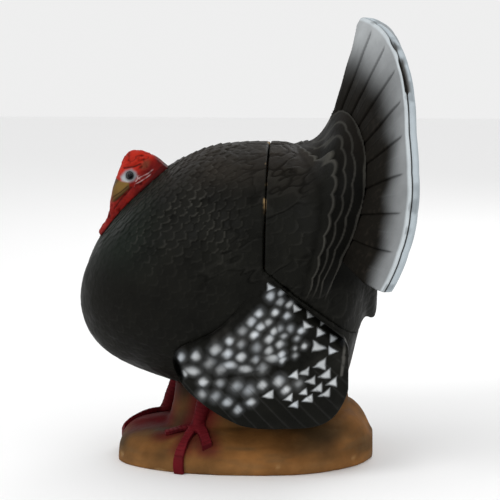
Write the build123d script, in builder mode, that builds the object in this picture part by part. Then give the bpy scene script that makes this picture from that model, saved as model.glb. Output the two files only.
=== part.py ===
from build123d import *
from math import cos, hypot, radians, sin
import os

# A full-strut turkey decoy in carved, painted foam, standing on its own foam ground base.
# Millimetres. +Z is up, the bird faces -X, its left side is -Y, and the origin is on the
# base's flat underside, midway between the two stake bores.

# ---------------------------------------------------------------- driving dimensions
HEIGHT = 660.0                # ground to the top of the tail fan
FAN_HUB = (75.0, 0.0, 364.0)  # where the tail feathers would meet, on the fan's front face
FAN_RISE = HEIGHT - FAN_HUB[2]         # hub to the top of the centre feather, straight up
FAN_REACH = 272.0             # hub to the side feathers' tips, across
FAN_LEAN = 0.27               # the fan leans back this much for each unit of height
FAN_SWEEP = 0.463             # each half sweeps back this much for each unit outwards
FAN_BEND, FAN_CURL = 225.0, 0.0081   # further out than the bend, the tips curl back as well
FAN_RIDGE = 30.0              # half width over which the V between the halves is rounded
FAN_THICK = 18.0
FAN_SPREAD = 104.0            # degrees from straight up to the lowest feather's edge
TANG, TANG_BEHIND = (10.0, 50.0, 120.0), 17.4   # the tongue, and how far it is behind the hub
SEAT_GAP = 0.6                # round the fan and its tongue, in front and behind

SEAM_TOP = (30.0, 520.0)      # the seam between the front and the tail section, (x, z)
SEAM_KNEE = (28.0, 311.0)
SEAM_REAR = (245.0, 133.0)
SEAM_GAP = 1.4

CORE_RADIUS, CORE_FRONT, CORE_REAR, CORE_Z = 62.0, -72.0, 66.0, 312.0
CORE_GAP = 1.0
DOWEL_RADIUS, RUNNING_GAP = 8.0, 0.25          # the gap is round the dowels that pull out
BODY_DOWEL_FRONT, BODY_DOWEL_REAR = -28.0, 84.0
BODY_DOWELS_AT = ((-64, 420), (64, 420), (-102, 334), (102, 334))            # (y, z)
NECK_DOWEL_DOWN, NECK_DOWEL_IN, NECK_DOWEL_OUT = 46.0, -58.0, 24.0
WING_PEGS_AT = ((-62, 172, 100, 158), (14, 238, 120, 178), (98, 182, 92, 150))   # x, z, in, out
BASE_DOWEL_RADIUS, BASE_DOWEL_Y, BASE_DOWEL_LOW, BASE_DOWEL_HIGH = 11.0, 38.0, 30.0, 190.0
END_GAP = 2.0                 # past the blind ends of the holes that dowels slide out of

BASE_BELLY = 20.0             # height at which the base is widest
STAKE_X = 62.0                # each stake bore's distance from the origin
STAKE_BORE_RADIUS, SLEEVE_RADIUS, SLEEVE_TOP = 6.25, 9.0, 172.0

# Body cross-sections from breast to rump: x, top, bottom, half width, height of the widest point
BODY = (
    (-254, 262, 222, 26, 242),
    (-244, 298, 198, 74, 246),
    (-220, 343, 165, 114, 253),
    (-180, 391, 141, 145, 262),
    (-130, 434, 122, 164, 270),
    (-60, 468, 102, 176, 274),
    (20, 477, 94, 178, 274),
    (90, 464, 95, 166, 272),
    (136, 410, 102, 142, 266),
    (154, 378, 158, 124, 270),
    (174, 344, 218, 92, 282),
    (190, 312, 250, 48, 281),
)
# The collar of coverts, where the back and flanks flare out on to the fan's front face
COLLAR = (
    (22, 476, 96, 177, 274),
    (60, 474, 140, 175, 280),
    (88, 478, 176, 175, 290),
    (106, 492, 200, 176, 306),
    (120, 516, 222, 178, 330),
    (134, 536, 240, 180, 352),
    (200, 546, 262, 184, 366),
)
# The wings' outer surface: it hangs nearly straight down from the widest point
WING_STATIONS = (
    (-150, 420, 20, 118, 218),
    (-104, 440, 14, 150, 222),
    (-60, 455, 10, 172, 230),
    (-10, 470, 8, 184, 238),
    (40, 476, 8, 188, 240),
    (100, 458, 10, 181, 236),
    (150, 400, 14, 163, 228),
)
WING_OUTLINE = (
    (27, 308), (-8, 256), (-52, 216), (-104, 180), (-92, 144), (-48, 107),
    (-6, 84), (60, 79), (122, 90), (146, 124), (143, 212),
)
WING_DEPTH = 44.0             # how far in from their surface the wings' lower parts are solid
# The base's cross-sections, the same five numbers; everything under the ground is cut away
BASE_STATIONS = (
    (-197, 26, -30, 22, BASE_BELLY - 4),
    (-184, 40, -40, 76, BASE_BELLY - 2),
    (-130, 52, -50, 116, BASE_BELLY),
    (-60, 63, -60, 136, BASE_BELLY),
    (20, 71, -60, 139, BASE_BELLY),
    (90, 76, -60, 127, BASE_BELLY + 3),
    (132, 84, -50, 104, BASE_BELLY + 6),
    (154, 80, -45, 84, BASE_BELLY + 7),
    (174, 60, -30, 56, BASE_BELLY + 6),
    (187, 38, -10, 24, BASE_BELLY + 5),
)
# The pedestal that carries the bird: height, and its half length and half width there
PEDESTAL_X = 17.0
PEDESTAL = ((40, 148, 96), (72, 136, 76), (104, 131, 66), (150, 128, 60))
# The head's sections along the slope of the ruff: distance down it, height off it, half width
HEAD_STATIONS = (
    (-7, 16, 9),
    (6, 45, 19),
    (28, 51, 25),
    (52, 42, 25),
    (76, 32, 21),
    (98, 18, 17),
    (120, 9, 15),
    (138, 4, 9),
)
HEAD_START = (-133.5, 0.0, 439.0)     # the top of the ruff, where the crown begins
HEAD_DOWN = (-0.664, 0.0, -0.748)     # down the ruff
HEAD_OUT = (-0.748, 0.0, 0.664)       # straight out of the ruff
EYE_RADIUS, EYE_DOWN, EYE_OUT, EYE_APART = 5.5, 38.0, 26.0, 18.5

# Legs: the shank's top in the belly, the ankle on the ground, and the toes' tips on the ground
LEFT_LEG = ((-58, -60, 128), (-75, -61, 54), ((-124, -74), (-103, -146), (-56, -126)))
RIGHT_LEG = ((-104, 58, 136), (-134, 60, 50), ((-198, 26), (-178, 92), (-128, 116)))
SHANK_RADIUS, TOE_WIDTH, TOE_HEIGHT = 11.0, 15.0, 7.0


# ---------------------------------------------------------------- shared shapes
def section_points(top, bottom, half, wide, low_bulge=0.74, low_drop=0.70):
    """One side of a body section, top to bottom, as (y, z)."""
    return [
        (0, top),
        (0.74 * half, wide + 0.70 * (top - wide)),
        (half, wide),
        (low_bulge * half, wide - low_drop * (wide - bottom)),
        (0, bottom),
    ]


def lofted(stations, grow=0.0, low_bulge=0.74, low_drop=0.70):
    """A closed solid through cross-sections on planes of constant x."""
    with BuildPart() as shape:
        for x, top, bottom, half, wide in stations:
            ends = x in (stations[0][0], stations[-1][0])
            side = section_points(
                top + grow, bottom - grow, half + grow, wide, low_bulge, low_drop
            )
            ring = side + [(-y, z) for y, z in reversed(side[1:-1])]
            step = grow * (1 if x > 0 else -1) if ends else 0
            with BuildSketch(Plane.YZ.offset(x + step)):
                with BuildLine():
                    Spline(*ring, periodic=True)
                make_face()
        loft()
    return shape.part


def prism_xz(points, half_width=300.0):
    """A profile in the XZ plane, as thick as the whole object."""
    with BuildPart() as shape:
        with BuildSketch(Plane.XZ):
            with BuildLine():
                Polyline(*points, close=True)
            make_face()
        extrude(amount=half_width, both=True)
    return shape.part


def tail_side(gap):
    """The space behind and above the seam, from gap past it."""
    return prism_xz((
        (SEAM_TOP[0] + gap, SEAM_TOP[1] + 200),
        (SEAM_TOP[0] + gap, SEAM_TOP[1]),
        (SEAM_KNEE[0] + gap, SEAM_KNEE[1] + gap),
        (SEAM_REAR[0] + gap, SEAM_REAR[1] + gap),
        (SEAM_REAR[0] + 200, SEAM_REAR[1] + gap),
        (SEAM_REAR[0] + 200, SEAM_TOP[1] + 200),
    ))


def swept_plate(front, back, low=-190.0, high=330.0):
    """A plate along the fan: a shallow V seen from above, leaning back as it rises.
    front and back are its faces' distances behind the fan's front face."""
    x, _, z = FAN_HUB
    reach = FAN_REACH + 4
    ridge = FAN_RIDGE

    def behind(y):
        return FAN_SWEEP * y + FAN_CURL * max(0.0, y - FAN_BEND) ** 2

    with BuildPart() as shape:
        with BuildSketch(Plane.XY.offset(z + low)) as plan:
            with BuildLine():
                tips = []
                for offset in (front, back):
                    start = x + FAN_LEAN * low + offset
                    for side in (-1, 1):
                        Line((start + behind(ridge), side * ridge),
                             (start + behind(FAN_BEND), side * FAN_BEND))
                        Spline(
                            *[(start + behind(y), side * y)
                              for y in (FAN_BEND, (FAN_BEND + reach) / 2, reach)]
                        )
                    ThreePointArc(
                        (start + behind(ridge), -ridge),
                        (start + behind(ridge) / 2.4, 0),
                        (start + behind(ridge), ridge),
                    )
                    tips.append(start + behind(reach))
                Line((tips[0], -reach), (tips[1], -reach))
                Line((tips[0], reach), (tips[1], reach))
            make_face()
        lean = hypot(1, FAN_LEAN)
        extrude(
            plan.sketch, amount=(high - low) * lean, dir=(FAN_LEAN / lean, 0, 1 / lean)
        )
    return shape.part


def fan_outline(rise, reach, spread):
    """A sector of an ellipse round the hub, as thick as the whole object along X."""
    z = FAN_HUB[2]
    edge = radians(spread)
    far = 2.0 * max(rise, reach)
    with BuildPart() as shape:
        with BuildSketch(Plane.YZ):
            with Locations((0, z)):
                Ellipse(reach, rise)
            with BuildLine():
                Polyline(
                    (0, z),
                    (far * sin(edge), z + far * cos(edge)),
                    (far * sin(edge), z - far),
                    (-far * sin(edge), z - far),
                    (-far * sin(edge), z + far * cos(edge)),
                    close=True,
                )
            make_face(mode=Mode.SUBTRACT)
        extrude(amount=500, both=True)
    return shape.part


def rod(start, end, radius):
    """A round bar between two points."""
    run = Vector(*end) - Vector(*start)
    with BuildPart(Plane(origin=start, z_dir=run)) as shape:
        Cylinder(radius, run.length, align=(Align.CENTER, Align.CENTER, Align.MIN))
    return shape.part


def on_ruff(down, across, out):
    """A point given down the ruff's slope, across it and out of it."""
    return tuple(
        HEAD_START[i] + HEAD_DOWN[i] * down + HEAD_OUT[i] * out + (0, 1, 0)[i] * across
        for i in range(3)
    )


def rods(ends, radius):
    """Several round bars of one size."""
    with BuildPart() as shape:
        for start, end in ends:
            add(rod(start, end, radius))
    return shape.part


def save(builder, label):
    """Labels a finished piece and writes its STEP."""
    builder.part.label = label
    export_step(builder.part, f"parts/{label}.step")


os.makedirs("parts", exist_ok=True)

# ---------------------------------------------------------------- envelopes used more than once
BODY_SHAPE = lofted(BODY)
LEAN_LENGTH = hypot(1, FAN_LEAN)
FAN_UP = (FAN_LEAN / LEAN_LENGTH, 0, 1 / LEAN_LENGTH)

BODY_DOWELS = rods(
    [((BODY_DOWEL_FRONT, y, z), (BODY_DOWEL_REAR, y, z)) for y, z in BODY_DOWELS_AT],
    DOWEL_RADIUS,
)
BODY_DOWEL_HOLES = rods(
    [((BODY_DOWEL_FRONT, y, z), (BODY_DOWEL_REAR + END_GAP, y, z)) for y, z in BODY_DOWELS_AT],
    DOWEL_RADIUS + RUNNING_GAP,
)
NECK_DOWEL = rod(
    on_ruff(NECK_DOWEL_DOWN, 0, NECK_DOWEL_IN), on_ruff(NECK_DOWEL_DOWN, 0, NECK_DOWEL_OUT),
    DOWEL_RADIUS,
)
NECK_DOWEL_HOLE = rod(
    on_ruff(NECK_DOWEL_DOWN, 0, NECK_DOWEL_IN - END_GAP),
    on_ruff(NECK_DOWEL_DOWN, 0, NECK_DOWEL_OUT),
    DOWEL_RADIUS + RUNNING_GAP,
)
WING_PEGS = rods(
    [
        ((x, side * inner, z), (x, side * outer, z))
        for side in (-1, 1)
        for x, z, inner, outer in WING_PEGS_AT
    ],
    DOWEL_RADIUS,
)
BASE_DOWELS = rods(
    [((0, y, BASE_DOWEL_LOW), (0, y, BASE_DOWEL_HIGH)) for y in (-BASE_DOWEL_Y, BASE_DOWEL_Y)],
    BASE_DOWEL_RADIUS,
)
SLEEVE_HOLES = rods([((x, 0, 0), (x, 0, SLEEVE_TOP)) for x in (-STAKE_X, STAKE_X)], SLEEVE_RADIUS)

# ---------------------------------------------------------------- the ground base
with BuildPart() as ground_base:
    add(lofted(BASE_STATIONS))
    for height, rx, ry in PEDESTAL:
        with BuildSketch(Plane.XY.offset(height)):
            with Locations((PEDESTAL_X, 0)):
                Ellipse(rx, ry)
    loft()
    add(BODY_SHAPE, mode=Mode.SUBTRACT)
    with Locations((0, 0, -100)):
        Box(600, 600, 200, mode=Mode.SUBTRACT)
    BASE_SHAPE = Part(ground_base.part.wrapped)
    add(BASE_DOWELS, mode=Mode.SUBTRACT)
    add(SLEEVE_HOLES, mode=Mode.SUBTRACT)

with BuildPart() as base_dowels:
    add(BASE_DOWELS)

# ---------------------------------------------------------------- the front of the body
with BuildPart() as main_body:
    add(BODY_SHAPE)
    add(tail_side(0), mode=Mode.SUBTRACT)
    with Locations((CORE_FRONT - CORE_GAP, 0, CORE_Z)):
        Cylinder(
            CORE_RADIUS + CORE_GAP, 200, rotation=(0, 90, 0),
            align=(Align.CENTER, Align.CENTER, Align.MIN), mode=Mode.SUBTRACT,
        )
    add(BODY_DOWELS, mode=Mode.SUBTRACT)
    add(NECK_DOWEL_HOLE, mode=Mode.SUBTRACT)
    add(WING_PEGS, mode=Mode.SUBTRACT)
    add(BASE_DOWELS, mode=Mode.SUBTRACT)
    add(SLEEVE_HOLES, mode=Mode.SUBTRACT)

# ---------------------------------------------------------------- the tail section
with BuildPart(mode=Mode.PRIVATE) as fan_seat:
    add(swept_plate(-SEAT_GAP, FAN_THICK + SEAT_GAP))
    add(fan_outline(FAN_RISE + 200, FAN_REACH + 40, FAN_SPREAD), mode=Mode.INTERSECT)
SEAT_SHAPE = Part(fan_seat.part.wrapped)

with BuildPart(mode=Mode.PRIVATE) as covert_collar:
    add(lofted(COLLAR))
    add(swept_plate(0, 300), mode=Mode.SUBTRACT)
    add(tail_side(SEAM_GAP), mode=Mode.INTERSECT)

TANG_PLANE = Plane(
    origin=(FAN_HUB[0] + TANG_BEHIND, 0, FAN_HUB[2]), x_dir=(FAN_UP[2], 0, -FAN_UP[0]), z_dir=FAN_UP
)
with BuildPart(TANG_PLANE, mode=Mode.PRIVATE) as tang_socket:
    Box(TANG[0] + SEAT_GAP, TANG[1] + SEAT_GAP, TANG[2] + 2 * SEAT_GAP)

with BuildPart(TANG_PLANE) as tail_tang:
    Box(*TANG)

with BuildPart() as tail_section:
    add(BODY_SHAPE)
    add(tail_side(SEAM_GAP), mode=Mode.INTERSECT)
    add(covert_collar.part)
    add(SEAT_SHAPE, mode=Mode.SUBTRACT)
    add(tang_socket.part, mode=Mode.SUBTRACT)
    with Locations((0, 0, CORE_Z)):
        Cylinder(
            CORE_RADIUS + CORE_GAP, CORE_REAR + CORE_GAP, rotation=(0, 90, 0),
            align=(Align.CENTER, Align.CENTER, Align.MIN), mode=Mode.SUBTRACT,
        )
    add(BODY_DOWEL_HOLES, mode=Mode.SUBTRACT)

with BuildPart() as tail_fan:
    add(swept_plate(0, FAN_THICK))
    add(fan_outline(FAN_RISE, FAN_REACH, FAN_SPREAD), mode=Mode.INTERSECT)
    add(tail_tang.part, mode=Mode.SUBTRACT)

# ---------------------------------------------------------------- what holds the halves together
with BuildPart() as vital_core:
    with Locations((CORE_FRONT, 0, CORE_Z)):
        Cylinder(
            CORE_RADIUS, CORE_REAR - CORE_FRONT, rotation=(0, 90, 0),
            align=(Align.CENTER, Align.CENTER, Align.MIN),
        )

with BuildPart() as body_dowels:
    add(BODY_DOWELS)

# ---------------------------------------------------------------- the head
with BuildPart() as head:
    for down, out, half in HEAD_STATIONS:
        section = Plane(origin=on_ruff(down, 0, 0), x_dir=(0, -1, 0), z_dir=HEAD_DOWN)
        with BuildSketch(section):
            with BuildLine():
                Spline(
                    (0, out), (0.7 * half, 0.72 * out), (half, 0.2 * out), (0.9 * half, -12),
                    (0, -18),
                    (-0.9 * half, -12), (-half, 0.2 * out), (-0.7 * half, 0.72 * out),
                    periodic=True,
                )
            make_face()
    loft()
    add(BODY_SHAPE, mode=Mode.SUBTRACT)
    with Locations(on_ruff(EYE_DOWN, -EYE_APART, EYE_OUT), on_ruff(EYE_DOWN, EYE_APART, EYE_OUT)):
        Sphere(EYE_RADIUS, mode=Mode.SUBTRACT)
    add(NECK_DOWEL, mode=Mode.SUBTRACT)

with BuildPart() as neck_dowel:
    add(NECK_DOWEL)

with BuildPart() as left_eye:
    with Locations(on_ruff(EYE_DOWN, -EYE_APART, EYE_OUT)):
        Sphere(EYE_RADIUS)

with BuildPart() as right_eye:
    with Locations(on_ruff(EYE_DOWN, EYE_APART, EYE_OUT)):
        Sphere(EYE_RADIUS)

# ---------------------------------------------------------------- the wings
with BuildPart(mode=Mode.PRIVATE) as both_wings:
    add(lofted(WING_STATIONS, low_bulge=0.82, low_drop=0.80))
    add(BODY_SHAPE, mode=Mode.SUBTRACT)
    add(
        lofted(
            [
                (1.5 * x, top, bottom, half - WING_DEPTH, wide)
                for x, top, bottom, half, wide in WING_STATIONS
            ],
            low_bulge=0.82, low_drop=0.80,
        ),
        mode=Mode.SUBTRACT,
    )
    add(lofted(BASE_STATIONS, grow=1.5), mode=Mode.SUBTRACT)
    with BuildSketch(Plane.XZ):
        with BuildLine():
            Line(WING_OUTLINE[-1], WING_OUTLINE[0])
            Spline(*WING_OUTLINE)
        make_face()
    extrude(amount=300, both=True, mode=Mode.INTERSECT)
    add(WING_PEGS, mode=Mode.SUBTRACT)

with BuildPart() as left_wing:
    add(both_wings.part)
    split(bisect_by=Plane.XZ, keep=Keep.TOP)

with BuildPart() as right_wing:
    add(both_wings.part)
    split(bisect_by=Plane.XZ, keep=Keep.BOTTOM)

with BuildPart() as wing_pegs:
    add(WING_PEGS)


# ---------------------------------------------------------------- the legs and the stake sleeves
def leg(shank_top, ankle, toes):
    """A shank down from the belly, and toes that lie over the ground's own surface."""
    with BuildPart() as shape:
        with BuildSketch(Plane.XY):
            with BuildLine():
                for tip in toes:
                    Line((ankle[0], ankle[1]), tip)
            trace(line_width=TOE_WIDTH)
            with Locations((ankle[0], ankle[1])):
                Circle(SHANK_RADIUS + 3)
        extrude(amount=90)
        add(lofted(BASE_STATIONS, grow=TOE_HEIGHT), mode=Mode.INTERSECT)
        add(rod(ankle, shank_top, SHANK_RADIUS))
        add(BASE_SHAPE, mode=Mode.SUBTRACT)
        add(BODY_SHAPE, mode=Mode.SUBTRACT)
    return shape


left_leg = leg(*LEFT_LEG)
right_leg = leg(*RIGHT_LEG)


def stake_sleeve(x):
    """A tube up through the base and the pedestal into the belly."""
    with BuildPart() as shape:
        with Locations((x, 0, 0)):
            Cylinder(SLEEVE_RADIUS, SLEEVE_TOP, align=(Align.CENTER, Align.CENTER, Align.MIN))
            Cylinder(
                STAKE_BORE_RADIUS, SLEEVE_TOP,
                align=(Align.CENTER, Align.CENTER, Align.MIN), mode=Mode.SUBTRACT,
            )
    return shape


front_stake_sleeve = stake_sleeve(-STAKE_X)
rear_stake_sleeve = stake_sleeve(STAKE_X)

for piece, label in (
    (main_body, "main_body"),
    (tail_section, "tail_section"),
    (tail_fan, "tail_fan"),
    (tail_tang, "tail_tang"),
    (head, "head"),
    (neck_dowel, "neck_dowel"),
    (left_eye, "left_eye"),
    (right_eye, "right_eye"),
    (left_wing, "left_wing"),
    (right_wing, "right_wing"),
    (wing_pegs, "wing_pegs"),
    (vital_core, "vital_core"),
    (body_dowels, "body_dowels"),
    (ground_base, "ground_base"),
    (base_dowels, "base_dowels"),
    (left_leg, "left_leg"),
    (right_leg, "right_leg"),
    (front_stake_sleeve, "front_stake_sleeve"),
    (rear_stake_sleeve, "rear_stake_sleeve"),
):
    save(piece, label)
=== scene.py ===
from math import cos, pi, radians, sin
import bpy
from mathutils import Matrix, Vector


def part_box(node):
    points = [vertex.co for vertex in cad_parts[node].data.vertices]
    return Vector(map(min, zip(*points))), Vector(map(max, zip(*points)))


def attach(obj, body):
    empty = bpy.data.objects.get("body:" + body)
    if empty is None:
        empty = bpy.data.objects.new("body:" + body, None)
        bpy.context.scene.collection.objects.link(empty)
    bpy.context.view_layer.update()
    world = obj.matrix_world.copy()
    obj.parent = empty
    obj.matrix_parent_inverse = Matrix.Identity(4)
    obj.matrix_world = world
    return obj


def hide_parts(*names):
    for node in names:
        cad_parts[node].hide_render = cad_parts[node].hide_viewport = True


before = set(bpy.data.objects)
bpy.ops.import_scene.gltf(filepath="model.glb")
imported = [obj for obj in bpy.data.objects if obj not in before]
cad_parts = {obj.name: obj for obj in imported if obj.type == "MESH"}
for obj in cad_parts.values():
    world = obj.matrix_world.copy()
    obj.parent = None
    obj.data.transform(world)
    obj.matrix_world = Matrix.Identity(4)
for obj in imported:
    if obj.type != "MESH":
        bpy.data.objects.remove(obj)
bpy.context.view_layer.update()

from types import SimpleNamespace

import bmesh
import bpy
import numpy as np
from mathutils import Vector
from mathutils.bvhtree import BVHTree

# A full-strut turkey decoy in carved, airbrushed foam. Metres, in the CAD frame: +Z is up,
# the bird faces -X, its left side is -Y, and the origin is under the middle of its base.
# The tail fan is a grid of points of its own. Each other outer piece is a fine mesh grown from
# its CAD solid, then carved and painted point by point.

MM = 1000                         # millimetres in a metre, for places given in millimetres

# ---------------------------------------------------------------- places taken from the frame
FAN_LOW, FAN_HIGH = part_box("tail_fan")
FAN_RISE, FAN_REACH = 0.296, 0.272          # from the hub to the top tip, and to the side tips
FAN_SPREAD = radians(104)                   # from straight up to the lowest feather's edge
FAN_LEAN, FAN_SWEEP, FAN_THICK = 0.27, 0.463, 0.018   # it leans and sweeps back by these slopes
FAN_BLUNT = 0.0122                          # rounds off the V between its two halves
FAN_BEND, FAN_CURL = 0.225, 8.1             # further out than the bend, the tips curl back
HUB = np.array([FAN_LOW.x - 0.0056, 0.0, FAN_HIGH.z - FAN_RISE])   # where the tail feathers meet
EYE_LOW, EYE_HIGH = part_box("left_eye")
EYE = (EYE_LOW + EYE_HIGH) / 2
SEAM_X = 0.0287                             # the seam between the body's two sections
CORE_Z, HOLE_REACH, HOLE_DEPTH = 0.312, 0.070, 0.08   # around the core's pocket


# ---------------------------------------------------------------- arrays of points
def lattice(ix, iy, iz, seed):
    """A repeatable random number from 0 to 1 for each whole-number cell."""
    mixed = ix * 374761393 + iy * 668265263 + iz * 2147483647 + seed * 1274126177
    mixed = (mixed ^ (mixed >> 13)) * 1274126177
    return ((mixed ^ (mixed >> 16)) & 0xFFFFFF) / float(0xFFFFFF)


def noise(points, size, seed=0):
    """Smooth noise from -1 to 1, with features of the given size."""
    scaled = points / size
    cell = np.floor(scaled).astype(np.int64)
    part = scaled - cell
    part = part * part * (3 - 2 * part)
    total = 0.0
    for corner in range(8):
        dx, dy, dz = corner & 1, (corner >> 1) & 1, corner >> 2
        weight = (
            (part[:, 0] if dx else 1 - part[:, 0])
            * (part[:, 1] if dy else 1 - part[:, 1])
            * (part[:, 2] if dz else 1 - part[:, 2])
        )
        total = total + weight * lattice(cell[:, 0] + dx, cell[:, 1] + dy, cell[:, 2] + dz, seed)
    return 2 * total - 1


def cloud(points, size, seed=0, octaves=3):
    """Several layers of noise, each half the size of the one before."""
    return sum(noise(points, size / 2**k, seed + k) / 2**k for k in range(octaves)) / 1.7


def ramp(value, low, high):
    """0 below low, 1 above high, and smooth between."""
    part = np.clip((value - low) / (high - low), 0, 1)
    return part * part * (3 - 2 * part)


def all_over(colour, places):
    """The same colour at every point."""
    return np.tile(np.array(colour), (len(places), 1))


def blend_to(colour, other, amount):
    """colour moved towards other by amount, point by point."""
    return colour + (np.array(other) - colour) * amount[:, None]


def scales(along, across, seed, bow=0.55):
    """Overlapping feathers, like shingles. along counts rows and across counts feathers.
    Gives the height of each point above the roots, 0 to 1, and its distance from the tip."""
    height = np.zeros_like(along)
    tip_gap = np.full_like(along, 9.0)            # far from any tip
    done = np.zeros(along.shape, bool)
    for back in (2, 1, 0):
        row = np.floor(along) - back
        shift = 0.5 * (row % 2) + 0.22 * (lattice(row.astype(np.int64), 3, 7, seed) - 0.5)
        column = np.floor(across + shift)
        chance = lattice(row.astype(np.int64), column.astype(np.int64), 5, seed)
        side = 2 * (across + shift - column - 0.5)
        reach = 1.35 + 0.3 * chance + (1 - bow * side * side) * 0.75
        place = (along - row) / reach
        covered = (place <= 1) & ~done
        rounded = 1 - 0.35 * side * side
        height[covered] = (place ** 1.3 * rounded * (0.45 + 0.55 * chance))[covered]
        tip_gap[covered] = ((1 - place) * reach + 0.15 * (1 - chance))[covered]
        done |= covered
    return height, tip_gap


# ---------------------------------------------------------------- meshes
def link(mesh, name):
    """Puts a mesh into the scene as an object."""
    piece = bpy.data.objects.new(name, mesh)
    bpy.context.scene.collection.objects.link(piece)
    return piece


def applied(piece):
    """Turns the piece's modifiers into plain mesh."""
    graph = bpy.context.evaluated_depsgraph_get()
    mesh = bpy.data.meshes.new_from_object(piece.evaluated_get(graph))
    piece.modifiers.clear()
    piece.data = mesh
    return piece


def dense(node, name, voxel, relax=6):
    """A fine, even mesh over a CAD node's solid."""
    solid = bmesh.new()
    solid.from_mesh(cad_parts[node].data)
    bmesh.ops.remove_doubles(solid, verts=solid.verts, dist=1e-6)
    mesh = bpy.data.meshes.new(name)
    solid.to_mesh(mesh)
    solid.free()
    piece = link(mesh, name)
    remesh = piece.modifiers.new("Even", "REMESH")
    remesh.mode, remesh.voxel_size, remesh.use_smooth_shade = "VOXEL", voxel, True
    smooth = piece.modifiers.new("Relax", "SMOOTH")
    smooth.factor, smooth.iterations = 0.5, relax
    return applied(piece)


def points_of(piece):
    """The piece's points and their normals, as arrays."""
    mesh = piece.data
    places = np.zeros(len(mesh.vertices) * 3)
    mesh.vertices.foreach_get("co", places)
    normals = np.zeros(len(mesh.vertices) * 3)
    mesh.vertex_normals.foreach_get("vector", normals)
    return places.reshape(-1, 3), normals.reshape(-1, 3)


def put_points(piece, places):
    """Moves the piece's points to new places."""
    piece.data.vertices.foreach_set("co", places.ravel())
    piece.data.update()


def carve(piece, places, normals, relief):
    """Moves each point along its normal."""
    put_points(piece, places + normals * relief[:, None])


def paint(piece, colour, shade):
    """Stores each point's colour and how open it is to light, which the material reads."""
    for name, values in (("paint", colour), ("painted_shade", np.repeat(shade.reshape(-1, 1), 3, 1))):
        layer = piece.data.color_attributes.new(name, "FLOAT_COLOR", "POINT")
        alpha = np.ones((len(values), 1))
        layer.data.foreach_set("color", np.hstack([np.clip(values, 0, 1), alpha]).ravel())


def finish_piece(piece, body, node, material):
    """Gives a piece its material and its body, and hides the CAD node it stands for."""
    piece.data.materials.clear()
    piece.data.materials.append(material)
    piece.data.polygons.foreach_set("use_smooth", [True] * len(piece.data.polygons))
    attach(piece, body)
    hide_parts(node)


# ---------------------------------------------------------------- materials
def new_material(name):
    """A material, its nodes, its links and its shader."""
    material = bpy.data.materials.new(name)
    material.use_nodes = True
    tree = material.node_tree
    return material, tree.nodes, tree.links, tree.nodes["Principled BSDF"]


def noise_node(nodes, links, place, scale, detail):
    """Noise at each place, from 0 to 1."""
    node = nodes.new("ShaderNodeTexNoise")
    node.inputs["Scale"].default_value, node.inputs["Detail"].default_value = scale, detail
    links.new(place, node.inputs["Vector"])
    return node.outputs["Fac"]


def range_node(nodes, links, value, start, end, low, high):
    """Carries a value from start and end over to low and high."""
    node = nodes.new("ShaderNodeMapRange")
    for socket, number in (("From Min", start), ("From Max", end), ("To Min", low), ("To Max", high)):
        node.inputs[socket].default_value = number
    links.new(value, node.inputs["Value"])
    return node.outputs["Result"]


def bump_node(nodes, links, height, strength, distance):
    """A surface roughened by a height."""
    node = nodes.new("ShaderNodeBump")
    node.inputs["Strength"].default_value, node.inputs["Distance"].default_value = strength, distance
    links.new(height, node.inputs["Height"])
    return node.outputs["Normal"]


def painted_foam(name, rough, mottle, shine, grain=0.0012, grain_depth=0.25):
    """Airbrushed paint over foam: the stored paint, mottled and darkened by the stored painted shade, with
    fine grain and worn gloss that the painted shade also dims.
    """
    material, nodes, links, shader = new_material(name)
    place = nodes.new("ShaderNodeTexCoord").outputs["Object"]
    stored = nodes.new("ShaderNodeAttribute")
    stored.attribute_name = "paint"
    painted_shade = nodes.new("ShaderNodeAttribute")
    painted_shade.attribute_name = "painted_shade"
    cloudy = noise_node(nodes, links, place, 26.0, 6.0)
    varied = nodes.new("ShaderNodeVectorMath")
    varied.operation = "SCALE"
    links.new(stored.outputs["Color"], varied.inputs[0])
    level = range_node(nodes, links, cloudy, 0.3, 0.7, 1 - mottle, 1 + mottle)
    links.new(level, varied.inputs["Scale"])
    # painted shade: the stored shade multiplies the colour here, and the gloss below
    shaded = nodes.new("ShaderNodeVectorMath")
    shaded.operation = "MULTIPLY"
    links.new(varied.outputs["Vector"], shaded.inputs[0])
    links.new(painted_shade.outputs["Color"], shaded.inputs[1])
    links.new(shaded.outputs["Vector"], shader.inputs["Base Color"])
    speck = noise_node(nodes, links, place, 1.0 / (grain * 4), 4.0)
    links.new(bump_node(nodes, links, speck, grain_depth, grain), shader.inputs["Normal"])
    worn = range_node(nodes, links, cloudy, 0.35, 0.65, rough - 0.1, rough + 0.12)
    links.new(worn, shader.inputs["Roughness"])
    gloss = nodes.new("ShaderNodeMath")
    gloss.operation = "MULTIPLY"
    gloss.inputs[1].default_value = shine
    links.new(painted_shade.outputs["Fac"], gloss.inputs[0])
    links.new(gloss.outputs["Value"], shader.inputs["Specular IOR Level"])
    return material


FEATHER_PAINT = painted_foam("feather_paint", 0.52, 0.30, 0.05)
FAN_PAINT = painted_foam("fan_paint", 0.58, 0.10, 0.02, grain=0.0008)
HEAD_PAINT = painted_foam("head_paint", 0.50, 0.18, 0.05, grain=0.0005)
GROUND_PAINT = painted_foam("ground_paint", 0.62, 0.28, 0.04, grain=0.0016, grain_depth=0.4)
LEG_PAINT = painted_foam("leg_paint", 0.5, 0.25, 0.04)

# the brown-grey is a painted highlight on the top of the back, where it faces up
BLACK, TOP_HIGHLIGHT_GREY = (0.0056, 0.0056, 0.0044), (0.023, 0.0185, 0.0145)
# the edge grey is a painted highlight on the feathers' raised edges
EDGE_HIGHLIGHT_GREY, BREAST_GREEN = (0.052, 0.050, 0.043), (0.009, 0.018, 0.013)
RUMP_DUST, BARE_FOAM = (0.055, 0.045, 0.034), (0.46, 0.31, 0.15)

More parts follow.
